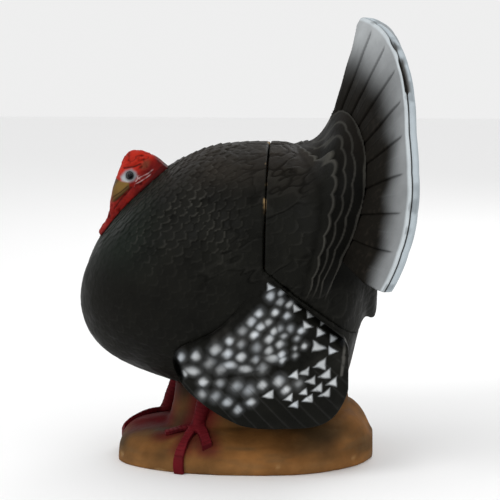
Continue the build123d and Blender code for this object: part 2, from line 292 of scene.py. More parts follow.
# ---------------------------------------------------------------- the feathered body
BODY_CENTRE = np.array([-0.020, 0.0, 0.275])
HEAD_WAY = np.array([-0.80, 0.0, 0.60])     # the feathers stream away from here
BALL = 0.19                       # the body's mean radius, which turns angles into lengths
FIRST_FEATHER, LAST_FEATHER = 0.0085, 0.022      # their lengths at the head and at the rump
SEAM_HALF, SEAM_WIDEST, SEAM_UP, SEAM_DOWN = 0.178, 0.274, 0.203, 0.180   # outline at the seam
COLLAR_RADIUS = 0.180
# The rows of coverts, from the fan forward: how far ahead of the fan their tips are, the
# feathers' width, their tips' bow, their length, and their painted edge highlight's width and strength
COVERT_ROWS = (
    (0.0015, 0.064, 0.0026, 0.020, 0.0030, 1.5),
    (0.017, 0.047, 0.0034, 0.015, 0.0020, 0.9),
    (0.028, 0.038, 0.0036, 0.015, 0.0020, 0.7),
    (0.038, 0.030, 0.0034, 0.015, 0.0020, 0.5),
)


def feathered(places, first, last, seed):
    """Scale-like feathers that stream from the head over the body, first to last long.
    Gives their height, each point's distance from its feather's tip, and their size."""
    warp = np.stack([cloud(places, 0.07, seed + 10 * k) for k in range(3)], 1)
    out = places + 0.014 * warp - BODY_CENTRE
    out = out / np.linalg.norm(out, axis=1)[:, None]
    pole = HEAD_WAY / np.linalg.norm(HEAD_WAY)
    side = np.array([0.0, 1.0, 0.0])
    angle = np.arccos(np.clip(out @ pole, -1, 1))
    turn = np.arctan2(out @ side, out @ np.cross(pole, side)) / (2 * pi)
    size = first + (last - first) * angle / pi
    rows = BALL * pi / (last - first) * np.log(size / first)
    # the number of feathers in a ring doubles in steps, so that columns stay whole
    ring = 2 * pi * BALL * np.sin(angle) / (size * 1.35)
    fine = np.log2(np.maximum(ring, 4))
    step = np.floor(fine)
    mix = ramp(fine - step, 0.35, 0.65)
    low_height, low_gap = scales(rows, turn * 2.0 ** step, seed, bow=0.7)
    high_height, high_gap = scales(rows, turn * 2.0 ** (step + 1), seed, bow=0.7)
    height = low_height * (1 - mix) + high_height * mix
    gap = low_gap * (1 - mix) + high_gap * mix
    return height, gap, size


def coverts(places):
    """The rows of tail coverts: shingles that lap back towards the fan, row by row.
    Gives their height, the painted highlight near a row's edge, and how far each point is ahead of the
    fan."""
    y, rise = places[:, 1], places[:, 2] - HUB[2]
    fan_face = HUB[0] + FAN_LEAN * rise + FAN_SWEEP * np.hypot(y, FAN_BLUNT)
    ahead = fan_face - places[:, 0]
    angle = np.arctan2(y, rise)
    height = np.zeros(len(places))
    edge = np.zeros(len(places))
    last = np.full(len(places), -1.0)             # behind every point
    for row, (gap, width, bulge, length, highlight_width, strength) in enumerate(COVERT_ROWS):
        across = angle * COLLAR_RADIUS / width + 0.5 * (row % 2)
        side = 2 * (across - np.floor(across) - 0.5)
        bow = bulge * (0.30 + 0.70 * np.abs(np.sin(angle)))
        tip = gap + bow * side * side + 0.0014 * noise(places, 0.034, 50 + row)
        share = np.clip(1 - (ahead - tip) / length, 0, 1)
        on_row = ramp(ahead - tip, -0.0003, 0.0009)
        height = np.where(ahead > last, on_row * share ** 1.4 * (1 - 0.30 * side * side), height)
        # painted highlight along each covert row's edge
        near = 1 - ramp(np.abs(ahead - tip - 0.0016), 0.0004, highlight_width)
        edge = np.maximum(edge, near * strength)
        last = tip
    return height, edge, ahead


def creases(places, neck):
    """Fine slanting creases across the back and flanks, and the lips raised beside them."""
    x, z = places[:, 0], places[:, 2]
    plain = (1 - 0.85 * neck) * ramp(z, 0.22, 0.30) * ramp(x, -0.11, -0.02)
    along, across = x * 0.86 + z * 0.50, z * 0.86 - x * 0.50
    slant = np.stack([along * 0.55, places[:, 1] * 0.8, across * 1.9], 1)
    bent = cloud(slant, 0.034, 21)
    patch = ramp(cloud(places, 0.05, 24), -0.55, 0.20) * plain
    crease = (1 - ramp(np.abs(bent), 0.0, 0.085)) * patch
    lips = (1 - ramp(np.abs(bent - 0.16), 0.02, 0.12)) * patch
    return crease, lips


def body_surface(places, tail):
    """How far the carving moves each point of the body, its hollows' painted shade and the painted
    highlight on its raised edges.
    """
    height, gap, size = feathered(places, FIRST_FEATHER, LAST_FEATHER, 1)
    neck = ramp(-places[:, 0], -0.04, 0.06) * ramp(places[:, 2], 0.29, 0.38)
    soft = cloud(places, 0.09, 3)
    depth = np.clip(0.12 + 1.05 * neck + (0.25 + 0.3 * neck) * soft, 0.04, 1.35)
    relief = (size / FIRST_FEATHER) ** 0.4 * 0.0030 * height * depth
    relief = relief + 0.0030 * cloud(places, 0.15, 31, 2) + 0.0004 * cloud(places, 0.006, 34, 2)
    crease, lips = creases(places, neck)
    relief = relief - 0.0013 * crease + 0.0004 * lips
    # painted highlight on the raised feather tips and on the lips beside the creases
    edge = (1 - ramp(gap, 0.03, 0.34)) * depth * (0.7 + 0.6 * ramp(soft, -0.6, 0.6)) + 0.16 * lips
    # painted shade in the feathers' roots and in the creases
    shade = 0.35 + 0.65 * ramp(height, 0.02, 0.45)
    shade = (1 - (1 - shade) * np.clip(depth, 0.15, 1)) * (1 - 0.45 * crease)
    if tail:
        lift, row_highlight, ahead = coverts(places)
        rows = (1 - ramp(ahead, 0.046, 0.060)) * ramp(places[:, 2], 0.262, 0.300)
        relief = relief * (1 - 0.9 * rows) + (0.0038 * lift - 0.0012) * rows
        # painted shade at the roots of each covert row
        shade = shade * (1 - rows) + rows * (0.55 + 0.45 * ramp(lift, 0.0, 0.35))
        # painted highlight on each covert row's edge
        edge = edge * (1 - rows) + 2.6 * row_highlight * rows
    return relief, shade, edge


def body_paint(places, normals, edge):
    """Black, with a brown-grey painted highlight where the top of the back faces up, grey painted
    highlights on the feathers' raised edges, and green on the breast.
    """
    # painted highlight: the top of the back is lighter where it faces up
    top = ramp(normals[:, 2], 0.35, 0.95) * ramp(places[:, 2], 0.38, 0.47)
    patchy = 0.5 + 0.5 * cloud(places, 0.05, 41)
    colour = blend_to(all_over(BLACK, places), TOP_HIGHLIGHT_GREY, top * np.clip(0.25 + 0.8 * patchy, 0, 1))
    # painted highlight on the feathers' raised edges
    colour = blend_to(colour, EDGE_HIGHLIGHT_GREY, np.clip(edge * 0.55, 0, 1))
    green = ramp(-places[:, 0], 0.10, 0.19) * ramp(places[:, 2], 0.27, 0.36)
    colour = blend_to(colour, BREAST_GREEN, green * 0.35)
    low = ramp(-places[:, 2], -0.19, -0.12) * ramp(places[:, 0], 0.12, 0.15)
    return blend_to(colour, RUMP_DUST, low * 0.8)


def seam_masks(places, normals, tail):
    """Which points are at the seam, which were never painted, and how much foam shows."""
    off_seam = np.abs(places[:, 0] - SEAM_X)
    seam = 1 - ramp(off_seam, 0.0012, 0.0030)
    facing = normals[:, 0] * (-1 if tail else 1)
    from_core = np.hypot(places[:, 1], places[:, 2] - CORE_Z)
    holes = (from_core < HOLE_REACH) & (np.abs(places[:, 0]) < HOLE_DEPTH)
    bare = np.where(holes, 1.0, ramp(facing, 0.55, 0.85) * seam)
    chipped = (1 - ramp(off_seam, 0.0006, 0.0030)) * ramp(places[:, 2], 0.385, 0.41)
    worn = chipped * ramp(cloud(places, 0.022, 71), -0.12, 0.10)
    # paint ran over the seam's faces for a few millimetres in from the skin
    tall = np.where(places[:, 2] > SEAM_WIDEST, SEAM_UP, SEAM_DOWN)
    from_middle = np.hypot(places[:, 1] / SEAM_HALF, (places[:, 2] - SEAM_WIDEST) / tall)
    depth = SEAM_HALF * (1 - from_middle)
    inner = bare * ramp(depth + 0.004 * cloud(places, 0.02, 73), 0.005, 0.012)
    return seam, bare, np.maximum(inner, 0.8 * worn)


def make_body(node, name, body, voxel):
    piece = dense(node, name, voxel)
    places, normals = points_of(piece)
    tail = node == "tail_section"
    relief, shade, edge = body_surface(places, tail)
    seam, bare, foam = seam_masks(places, normals, tail)
    carve(piece, places, normals, relief * (1 - np.maximum(bare, seam)))
    colour = blend_to(body_paint(places, normals, edge), BARE_FOAM, foam)
    # painted shade from the carving's hollows, none on the bare foam
    paint(piece, colour, shade + (1 - shade) * bare)
    finish_piece(piece, body, node, FEATHER_PAINT)


make_body("main_body", "front_body_shell", "front", 0.0022)
make_body("tail_section", "tail_section_shell", "tail", 0.0017)


# ---------------------------------------------------------------- the tail fan
FEATHERS = 18
RING_STEPS, AROUND_STEPS = 104, 468
FAN_START = 0.012                 # how far from the hub the feathers begin
FAN_TWIST = 0.01                  # metres of the paint's pattern for each radian round the fan
BARB_PITCH = 0.0046
FAN_BLACK, FAN_BROWN, FAN_FLECK = (0.0070, 0.0062, 0.0050), (0.0088, 0.0078, 0.0062), (0.024, 0.020, 0.016)
FRONT_BAND, BACK_BAND, TOP_BAND = (0.22, 0.23, 0.235), (0.16, 0.165, 0.17), (0.42, 0.44, 0.45)
RIM_WHITE, RIM_GREY = (0.47, 0.51, 0.53), (0.40, 0.45, 0.48)
# the torn-foam colour is painted shade inside the torn gaps of the rim
GROOVE_GREY, TEAR_GAP_SHADE = (0.07, 0.065, 0.06), (0.060, 0.055, 0.048)
# The lines of points over the rim, from front to back: the share of its thickness, how far a tear
# moves that, whether the line is sunk, how far it bulges, how much painted shade a tear gets, its colour
RIM_LINES = (
    (0.10, 0.00, 0, 0.0022, 0.00, RIM_WHITE),
    (0.24, -0.10, 0, 0.0030, 0.75, RIM_WHITE),
    (0.29, -0.09, 1, 0.0, 1.00, GROOVE_GREY),
    (0.35, 0.10, 1, 0.0, 1.00, GROOVE_GREY),
    (0.41, 0.12, 0, 0.0030, 0.85, RIM_GREY),
    (0.78, 0.00, 0, 0.0022, 0.00, RIM_GREY),
)


def fan_shape(radius, angle):
    """The fan's front face at a distance and an angle from straight up, about the hub."""
    y, rise = radius * np.sin(angle), radius * np.cos(angle)
    out = FAN_SWEEP * np.hypot(y, FAN_BLUNT) + FAN_CURL * np.maximum(0, np.abs(y) - FAN_BEND) ** 2
    return np.stack([HUB[0] + FAN_LEAN * rise + out, y, HUB[2] + rise], -1)


def fan_edge(angle):
    """The fan's radius at an angle, an ellipse."""
    return 1 / np.hypot(np.sin(angle) / FAN_REACH, np.cos(angle) / FAN_RISE)


def fan_relief(share, radius, angle, side, ground):
    """How far the carving stands out in front and behind, and 1 wherever there is no groove."""
    off_groove = 1 - ramp(np.abs(side), 0.90, 1.0) * (1 - ramp(share, 0.955, 0.985))
    grown = ramp(radius, 0.06, 0.16)
    lap = np.where(angle < 0, -side, side)        # each feather laps the next one out
    arch = 0.0012 * (1 - side * side) * grown
    arch += 0.0010 * lap * grown * (1 - ramp(share, 0.92, 0.98))
    cut = 0.0020 * (1 - off_groove) * ramp(radius, 0.05, 0.10)
    waves = (radius + np.abs(side) * 0.012) * 2 * pi / BARB_PITCH
    barbs = 0.00035 * np.sin(waves) * ramp(radius, 0.1, 0.16)
    shaft = 0.0008 * (1 - ramp(np.abs(side), 0.0, 0.07)) * ramp(radius, 0.08, 0.14)
    uneven = 0.0016 * cloud(ground, 0.05, 61).reshape(radius.shape)
    return arch - cut + barbs + shaft + uneven, 0.7 * arch - 0.7 * cut + uneven, off_groove


def fan_rim(front, back, angle):
    """The lines of points that join the front's edge to the back's, and their colours. A groove
    runs along the middle, with torn gaps near the top whose insides get painted shade."""
    middle = (front + back) / 2
    inward = np.stack([np.zeros(AROUND_STEPS), -np.sin(angle), -np.cos(angle)], -1)
    torn = ramp(noise(middle, 0.018, 66), -0.40, 0.20) * ramp(middle[:, 2], 0.548, 0.562)
    torn *= 1 - ramp(middle[:, 2], 0.636, 0.648)
    lines, colours = [], []
    for share, moved, sunk, bulge, tear_shade, colour in RIM_LINES:
        at = (share + moved * torn)[:, None]
        depth = sunk * (0.0012 + 0.0085 * torn) - bulge * (0.9 - 0.5 * torn)
        line = front * (1 - at) + back * at + inward * depth[:, None]
        scuffed = ramp(noise(line, 0.016, 67), 0.25, 0.6)
        tone = all_over(colour, line) * (1 - 0.35 * scuffed[:, None])
        lines.append(line)
        # painted shade inside the torn gaps
        colours.append(blend_to(tone, TEAR_GAP_SHADE, torn * tear_shade))
    return np.array(lines), np.array(colours)


def fan_colours(radius, edge, side, ground, band, rim):
    """Dark inner feathers, a soft grey band near the tips, widest at the top, and a pale rim."""
    drift = cloud(ground, 0.06, 62)
    height = np.cos(ground[:, 2] / FAN_TWIST)
    brown = ramp((radius.ravel() - 0.13) / 0.12 + 0.4 * drift, 0.0, 1.0)
    colour = blend_to(all_over(FAN_BLACK, ground), FAN_BROWN, brown * 0.7)
    streak = ramp(noise(ground * np.array([1.0, 1.0, 6.0]), 0.004, 64), 0.1, 0.9) * brown
    colour = blend_to(colour, FAN_FLECK, 0.5 * streak)
    inset = (edge - radius).ravel()
    spread = 0.040 + 0.065 * np.maximum(0, height) ** 2 + 0.012 * drift - 0.006 * np.abs(side.ravel())
    colour = blend_to(colour, band, (1 - ramp(inset, 0.001, spread)) ** 1.4)
    crest = ramp(height, 0.80, 1.0) * (1 - ramp(inset, 0.004, 0.075))
    colour = blend_to(colour, TOP_BAND, 0.75 * crest * (1 - 0.5 * np.clip(drift, 0, 1)))
    colour = blend_to(colour, rim, 1 - ramp(inset, 0.0004, 0.0022))
    dirt = ramp(cloud(ground, 0.035, 63), 0.1, 0.9)
    return (colour * (1 - 0.30 * dirt[:, None])).reshape(radius.shape + (3,))


def closed_mesh(name, grid):
    """A mesh over rows of points that run out over the front and back in over the rear. The two
    end columns, and the first and last rows, are sewn from front to back."""
    rows, columns = grid.shape[:2]
    index = np.arange(rows * columns).reshape(rows, columns)
    quads = np.stack([index[:-1, :-1], index[1:, :-1], index[1:, 1:], index[:-1, 1:]], -1)
    faces = quads.reshape(-1, 4).tolist()
    for column, turn in ((0, 1), (columns - 1, -1)):
        for row in range(rows // 2 - 1):
            mate = rows - 1 - row
            face = [int(index[at, column]) for at in (row, mate, mate - 1, row + 1)]
            faces.append(face[::turn])
    for column in range(columns - 1):
        corners = ((0, column), (0, column + 1), (-1, column + 1), (-1, column))
        faces.append([int(index[corner]) for corner in corners])
    mesh = bpy.data.meshes.new(name)
    mesh.from_pydata(grid.reshape(-1, 3).tolist(), [], faces)
    mesh.update()
    build = bmesh.new()
    build.from_mesh(mesh)
    bmesh.ops.recalc_face_normals(build, faces=build.faces)
    build.to_mesh(mesh)
    build.free()
    return mesh


def make_fan():
    around = np.linspace(-FAN_SPREAD, FAN_SPREAD, AROUND_STEPS)
    share, angle = np.meshgrid(np.linspace(0, 1, RING_STEPS) ** 0.9, around, indexing="ij")
    place = (angle + FAN_SPREAD) / (2 * FAN_SPREAD) * FEATHERS
    side = 2 * (place - np.minimum(np.floor(place), FEATHERS - 1) - 0.5)
    edge = fan_edge(angle) - 0.0006 * np.abs(side) ** 3       # each tip is rounded a little
    radius = FAN_START + (edge - FAN_START) * share
    ground = np.stack([radius * np.sin(angle), radius * np.cos(angle), angle * FAN_TWIST], -1)
    ground = ground.reshape(-1, 3)
    front_lift, back_lift, off_groove = fan_relief(share, radius, angle, side, ground)
    rim = ramp(share, 0.962, 1.0)
    turned = 0.0016 * rim ** 2
    front, back = fan_shape(radius, angle), fan_shape(radius, angle)
    front[..., 0] -= front_lift * (1 - rim) - turned
    back[..., 0] += FAN_THICK + back_lift * (1 - rim) - turned
    rim_lines, rim_colours = fan_rim(front[-1], back[-1], around)
    front_colours = fan_colours(radius, edge, side, ground, FRONT_BAND, RIM_WHITE)
    back_colours = fan_colours(radius, edge, side, ground, BACK_BAND, RIM_GREY)
    # painted shade in the grooves between the feathers
    carved_shade = 0.35 + 0.65 * off_groove
    grid = np.concatenate([front, rim_lines, back[::-1]], 0)
    colour = np.concatenate([front_colours, rim_colours, back_colours[::-1]], 0)
    shade = np.concatenate([carved_shade, np.ones(rim_lines.shape[:2]), carved_shade[::-1]], 0)
    piece = link(closed_mesh("tail_fan_feathers", grid), "tail_fan_feathers")
    paint(piece, colour.reshape(-1, 3), shade)
    finish_piece(piece, "fan", "tail_fan", FAN_PAINT)


make_fan()

# ---------------------------------------------------------------- the head
RUFF_DOWN = np.array([-0.664, 0.0, -0.748])      # down the ruff, and straight out of it
RUFF_OUT = np.array([-0.748, 0.0, 0.664])
EYE_DOWN, EYE_OUT = 38, 26                       # millimetres down the ruff and out from it
CROWN = np.array([EYE.x, 0.0, EYE.z]) - EYE_DOWN / MM * RUFF_DOWN - EYE_OUT / MM * RUFF_OUT
# the dark red is painted shade where the head comes close to the body, mixed with random mottling
RED, SHADE_AND_MOTTLE_RED, PINK = (0.37, 0.018, 0.008), (0.10, 0.005, 0.005), (0.34, 0.034, 0.026)
# the fold, brow and parting reds are painted shade in the skin's folds, under the brow and under the beak
FOLD_SHADE_RED, BROW_SHADE_RED, PARTING_SHADE_RED = (0.060, 0.006, 0.005), (0.045, 0.006, 0.005), (0.05, 0.006, 0.005)
JOINT_RED, SMUDGE, LINE_PINK = (0.060, 0.005, 0.005), (0.13, 0.035, 0.018), (0.60, 0.42, 0.42)
PALE, BLUE_GREY = (0.21, 0.24, 0.26), (0.40, 0.43, 0.44)
RING_GREY, LID_BLACK = (0.12, 0.12, 0.125), (0.03, 0.03, 0.03)
HORN, DARK_HORN = (0.150, 0.088, 0.024), (0.038, 0.020, 0.008)
# Outlines and lines on the side of the head, as millimetres (down the ruff, out from it)
BEAK = ((46, 20), (53, 29), (58, 40), (70, 38), (84, 33), (92, 24), (84, 17), (69, 15), (52, 14))
LORE = ((29, 31), (28, 23), (31, 18), (39, 17), (49, 22), (53, 30), (50, 36), (38, 36))
BROW = ((35, 44), (21, 35), (6, 29))
UNDER_BROW = ((37, 41), (24, 31), (14, 26))
MOUTH = ((52, 18), (66, 20), (80, 23), (88, 22))
PARTING = ((49, 13), (62, 12.5), (76, 13), (92, 11))
FACE_LINES = (                # and their widths
    (((4, 6), (17, 8), (31, 14), (38, 14)), 1.35),
    (((14, 4), (24, 6), (36, 9.5), (42, 12), (45, 10)), 1.2),
    (((24, 14), (30, 17), (33, 15), (31, 12)), 1.2),
)


def to_segment(down, out, start, end):
    """The distance from each point to a straight line between two points."""
    run = (end[0] - start[0], end[1] - start[1])
    share = ((down - start[0]) * run[0] + (out - start[1]) * run[1]) / (run[0] ** 2 + run[1] ** 2)
    share = np.clip(share, 0, 1)
    return np.hypot(down - start[0] - share * run[0], out - start[1] - share * run[1])


def to_line(down, out, points):
    """The distance from each point to a line through several points."""
    return np.min([to_segment(down, out, a, b) for a, b in zip(points, points[1:])], axis=0)


def near_line(down, out, points, full, none):
    """1 within full of a line, 0 beyond none, and smooth between."""
    return 1 - ramp(to_line(down, out, points), full, none)


def inside(down, out, points, soft):
    """1 inside a closed outline, 0 outside, and smooth across its edge."""
    within = np.zeros(len(down), bool)
    for a, b in zip(points, points[1:] + points[:1]):
        crosses = (a[1] > out) != (b[1] > out)
        at = a[0] + (out - a[1]) * (b[0] - a[0]) / ((b[1] - a[1]) or 1e-9)
        within ^= crosses & (down < at)
    gap = to_line(down, out, points + points[:1])
    return ramp(np.where(within, gap, -gap), -soft, soft)


def head_map(places):
    """Where each point is on the head: millimetres, and features from 0 to 1."""
    off = (places - CROWN) * MM
    down, out, side = off @ RUFF_DOWN, off @ RUFF_OUT, np.abs(off[:, 1])
    at = SimpleNamespace(down=down, out=out)
    at.eye_gap = np.hypot(down - EYE_DOWN, out - EYE_OUT)
    at.flank = ramp(side, 4, 12)                  # off the ridge, on the side of the face
    at.beak = inside(down, out, BEAK, 1.2) * ramp(side + 40 - down, -60, -20)
    at.lore = inside(down, out, LORE, 3.4)
    at.brow = near_line(down, out, BROW, 0.6, 3.2)
    at.under_brow = near_line(down, out, UNDER_BROW, 0.4, 1.8)
    at.mouth = near_line(down, out, MOUTH, 0.2, 1.2)
    at.parting = near_line(down, out, PARTING, 0.3, 1.6)
    lines = [near_line(down, out, points, 0.3, width) for points, width in FACE_LINES]
    at.lines = np.max(lines, axis=0) * ramp(down, 6, 12)
    at.crown = ramp(-down, -34, -16) * ramp(out, 16, 26)
    at.skin = (1 - at.beak) * (1 - at.lore)
    at.wrinkles = -np.abs(cloud(places * np.array([1.0, 0.8, 1.0]), 0.0085, 81, 2))
    bent = cloud(places * np.array([0.75, 1.0, 1.5]), 0.011, 95, 2)
    at.folds = (1 - ramp(np.abs(bent), 0.01, 0.15)) * at.skin * (0.35 + 0.65 * at.crown)
    return at


def head_relief(places, at):
    """How far the carving moves each point of the head."""
    warts = np.maximum(0, cloud(places, 0.0045, 84, 2))
    lappet = ramp(at.down, 60, 80) * (1 - ramp(at.out, 10, 20))
    relief = at.skin * (0.0016 * at.wrinkles * (1 + at.crown) + 0.0008 * warts * (1 + lappet))
    raised = 0.0013 * at.brow - 0.0012 * at.under_brow + 0.0010 * at.lines
    relief += at.flank * (raised - 0.0008 * at.mouth - 0.0010 * at.parting)
    relief += 0.0012 * at.beak * at.flank - 0.0007 * at.folds
    relief += 0.0008 * (1 - ramp(np.abs(at.eye_gap - 7.2), 0.3, 1.4)) * at.flank
    relief -= 0.0009 * at.lore * (1 - ramp(at.eye_gap, 7.5, 9.0)) * at.flank
    return relief * ramp(at.out + 3, 0, 3)        # not on the hidden face that sits on the body


def head_paint(places, at):
    """Red skin, darker below with painted shade near the body and at random, painted shade in the folds,
    under the brow and under the beak, a pale patch round the eye and a horn-coloured beak.
    """
    shade = 0.5 + 0.5 * cloud(places, 0.014, 86)
    low = 1 - ramp(at.out, 10, 30)
    # painted shade where the head comes close to the body, with random mottling
    colour = blend_to(all_over(RED, places), SHADE_AND_MOTTLE_RED, np.clip(0.80 * low + 0.75 * shade - 0.30, 0, 1))
    colour = blend_to(colour, PINK, ramp(at.down, 44, 60) * ramp(shade, 0.35, 0.8) * 0.55)
    # painted shade in the skin's folds
    colour = blend_to(colour, FOLD_SHADE_RED, 0.65 * at.folds)
    smudge = 1 - ramp(np.hypot((at.down - 10) / 1.6, at.out - 20), 2, 8)
    colour = blend_to(colour, SMUDGE, 0.8 * smudge)
    # painted shade under the brow
    colour = blend_to(colour, BROW_SHADE_RED, 0.85 * at.under_brow * at.flank)
    broken = ramp(noise(places, 0.006, 87), -0.5, 0.5)
    colour = blend_to(colour, LINE_PINK, 0.55 * at.lines * at.flank * broken)
    blue = 1 - ramp(np.hypot(at.down - 47, at.out - 27), 3, 12)
    colour = blend_to(colour, blend_to(all_over(PALE, places), BLUE_GREY, 0.6 * blue), at.lore * at.flank)
    ring = 1 - ramp(np.abs(at.eye_gap - 6.6), 0.4, 3.0)
    colour = blend_to(colour, RING_GREY, 0.75 * ring * at.flank)
    ridge = ramp(np.abs(at.out - 26), 4, 11)
    dark = np.clip(ramp(at.down, 58, 90) * 0.6 + 0.9 * ridge + 0.7 * at.mouth, 0, 1)
    colour = blend_to(colour, blend_to(all_over(HORN, places), DARK_HORN, dark), at.beak)
    # painted shade in the groove under the beak's lower edge
    colour = blend_to(colour, PARTING_SHADE_RED, 0.8 * at.parting * at.flank * (1 - at.beak))
    colour = blend_to(colour, LID_BLACK, (1 - ramp(at.eye_gap, 5.2, 6.6)) * at.flank)
    return blend_to(colour, JOINT_RED, 1 - ramp(at.out, -1.0, 3.5))


def make_head():
    piece = dense("head", "head_skin", 0.0009, relax=10)
    places, normals = points_of(piece)
    at = head_map(places)
    carve(piece, places, normals, head_relief(places, at))
    # painted shade in the wrinkles of the skin
    paint(piece, head_paint(places, at), 1 - 0.65 * ramp(-at.wrinkles, 0.25, 0.8) * at.skin)
    finish_piece(piece, "head", "head", HEAD_PAINT)


make_head()


# ---------------------------------------------------------------- the wings
# The white dots on the left wing, mirrored on the right: x, z and half size in millimetres.
TIPS_REARWARD = (      # sharp feather tips that point to the rear
    (39, 289, 4.2), (76, 258, 3.8), (91, 234, 4.8), (95, 247, 3.9), (107, 204, 7.0), (110, 223, 4.6),
    (112, 234, 2.6), (127, 197, 5.2), (128, 213, 4.0),
)
TIPS_FORWARD = (       # sharp tips that point forward, on the flight feathers
    (36, 134, 5.6), (65, 130, 4.8), (72, 119, 5.0), (72, 163, 5.4), (86, 138, 4.8), (88, 168, 5.0),
    (92, 127, 5.6), (97, 155, 5.2), (106, 143, 5.8), (110, 177, 6.6), (117, 163, 6.4), (117, 134, 5.6),
    (127, 150, 5.8),
)
ROUND = (              # soft round dots
    (-92, 180, 6.0), (-86, 157, 4.0), (-69, 185, 6.2), (-58, 149, 6.0), (-40, 197, 7.2), (-23, 121, 5.8),
    (-23, 192, 6.8), (-20, 211, 5.6), (-9, 109, 5.6), (-3, 188, 6.2), (11, 122, 5.8), (11, 239, 5.8),
    (16, 220, 5.6), (22, 251, 5.9), (25, 232, 5.3), (28, 148, 5.9), (36, 239, 5.0), (37, 198, 5.5),
    (37, 214, 5.6), (39, 276, 5.7), (44, 225, 5.0), (45, 253, 4.9), (51, 154, 6.6), (53, 207, 4.8),
    (53, 268, 4.6), (55, 193, 4.8), (56, 185, 4.4), (54, 279, 3.8), (60, 141, 5.8), (63, 248, 4.8),
    (66, 263, 4.6), (83, 227, 4.5), (87, 205, 4.0), (145, 209, 4.0),
)
FAINT = (              # weaker round dots
    (-60, 130, 6.0), (-49, 177, 7.5), (-40, 128, 6.2), (-34, 148, 5.2), (-32, 169, 7.0), (-9, 145, 7.5),
    (-3, 206, 5.2), (-1, 226, 6.0), (9, 140, 7.5), (18, 185, 5.5), (19, 202, 6.0), (28, 173, 6.2),
    (53, 231, 4.6), (58, 219, 4.4), (67, 230, 4.6), (74, 191, 3.8), (74, 201, 3.0), (77, 216, 3.8),
    (79, 150, 5.8),
)
LONG = ((-74, 163, 5.2), (-20, 175, 5.2), (3, 170, 5.0), (42, 187, 4.8))     # along the band
SOFT_DOTS = (          # with their strength, how hard their middle is, and how drawn out they are
    (ROUND, 0.86, 0.22, 1.0),
    (FAINT, 0.46, 0.0, 1.0),
    (LONG, 0.70, 0.20, 1.9),
)
# Lines on the wing's side, as millimetres (x, z)
WING_FRONT = ((27, 308), (-8, 256), (-52, 216), (-104, 180), (-100, 155))
WING_TOP = ((27, 308), (143, 212))
WING_REAR = ((144, 186), (140, 160), (146, 212))
WING_BAND = ((-53, 149), (-6, 160), (40, 170), (94, 166), (143, 187))
CHALK, BLUE_CHALK = (0.50, 0.52, 0.53), (0.56, 0.60, 0.64)
# the trail grey is a painted highlight along the wing's rear edge
WING_DUST, TRAIL_EDGE_HIGHLIGHT, QUILL_GREY = (0.030, 0.028, 0.025), (0.16, 0.155, 0.14), (0.026, 0.026, 0.024)
SMALL_FEATHER, FLIGHT_FEATHER = 13.0, 17.0
BODY_TREE = BVHTree.FromPolygons(          # the body's skin, under the wings
    [v.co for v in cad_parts["main_body"].data.vertices],
    [p.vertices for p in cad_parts["main_body"].data.polygons],
)


def triangle(x, z, size, way):
    """How far each point is outside a white feather tip, over its size."""
    u, v = (x / size) * way, z / size
    edges = ((-1.0, 0.0, 0.90), (0.187, -0.982, 0.72), (0.581, 0.814, 0.29))
    return np.max([a * u + b * v - reach for a, b, reach in edges], axis=0)


def round_gap(x, z, long):
    """The distance from a dot's middle, for a blunt square on its corner, or a long oval."""
    if long > 1:
        return np.hypot(x / long, z)
    rising, falling = (x + z) * 0.707, (z - x) * 0.707
    return (np.abs(rising * 0.95) ** 2.6 + np.abs(falling * 1.15) ** 2.6) ** (1 / 2.6)


def dots(x, z):
    """The airbrushed white at each point, 0 to 1."""
    flat = np.stack([x, z, 0 * x], 1)
    bend_x, bend_z = x + 1.2 * noise(flat, 9.0, 91), z + 1.2 * noise(flat, 9.0, 92)
    white, mist = np.zeros(len(x)), np.zeros(len(x))
    for table, way in ((TIPS_REARWARD, 1), (TIPS_FORWARD, -1)):
        for dot_x, dot_z, size in table:
            gap = triangle(bend_x - dot_x, bend_z - dot_z, size * 1.08, way)
            white = np.maximum(white, 0.94 * (1 - ramp(gap, -0.24, 0.30)))
    for table, strength, hard, long in SOFT_DOTS:
        for dot_x, dot_z, size in table:
            gap = round_gap(bend_x - dot_x, bend_z - dot_z, long) / size
            uneven = 0.88 + 0.12 * sin(dot_x * 7.3 + dot_z * 3.1)
            white = np.maximum(white, strength * uneven * (1 - ramp(gap, hard, 1.48)))
            mist = np.maximum(mist, 1 - ramp(gap, 0.8, 2.6))
    return np.clip(white + 0.075 * mist * (1 - white), 0, 1)


def lower_edge(places, outer, edge_gap, turn):
    """The y of each point, with the wing's front and upper edges eased down on to the body."""
    y = places[:, 1].copy()
    ease = ramp(edge_gap, -2.0, 17.0)
    for i in np.nonzero((outer > 0.02) & (ease < 0.999))[0]:
        start = Vector((places[i, 0], turn * 0.4, places[i, 2]))
        hit, _, _, _ = BODY_TREE.ray_cast(start, Vector((0, -turn, 0)))
        if hit is not None and abs(hit.y) > 0.09:
            skin, depth = abs(hit.y) + 0.0008, abs(y[i])
            if depth > skin:
                target = skin + (depth - skin) * ease[i]
                y[i] = turn * (depth + (target - depth) * outer[i])
    return y


def wing_feathers(x, z):
    """Small feathers above the band and flight feathers below it: how far above each point is,
    the distance to the band, the height of either kind, and the place across a flight feather."""
    off_band = z - np.interp(x, *zip(*WING_BAND))
    rows, columns = (x * 0.55 - z * 0.83) / SMALL_FEATHER, (x * 0.83 + z * 0.55) / SMALL_FEATHER
    small, _ = scales(rows, columns, 95)
    quill = (x * 0.72 + z * 0.69) / FLIGHT_FEATHER + 0.12 * np.sin(z / 30)
    blade = quill - np.floor(quill)
    flight = ramp(blade, 0.0, 0.10) * (1 - 0.55 * blade)
    return ramp(off_band, -3, 5), np.abs(off_band), small, flight, blade


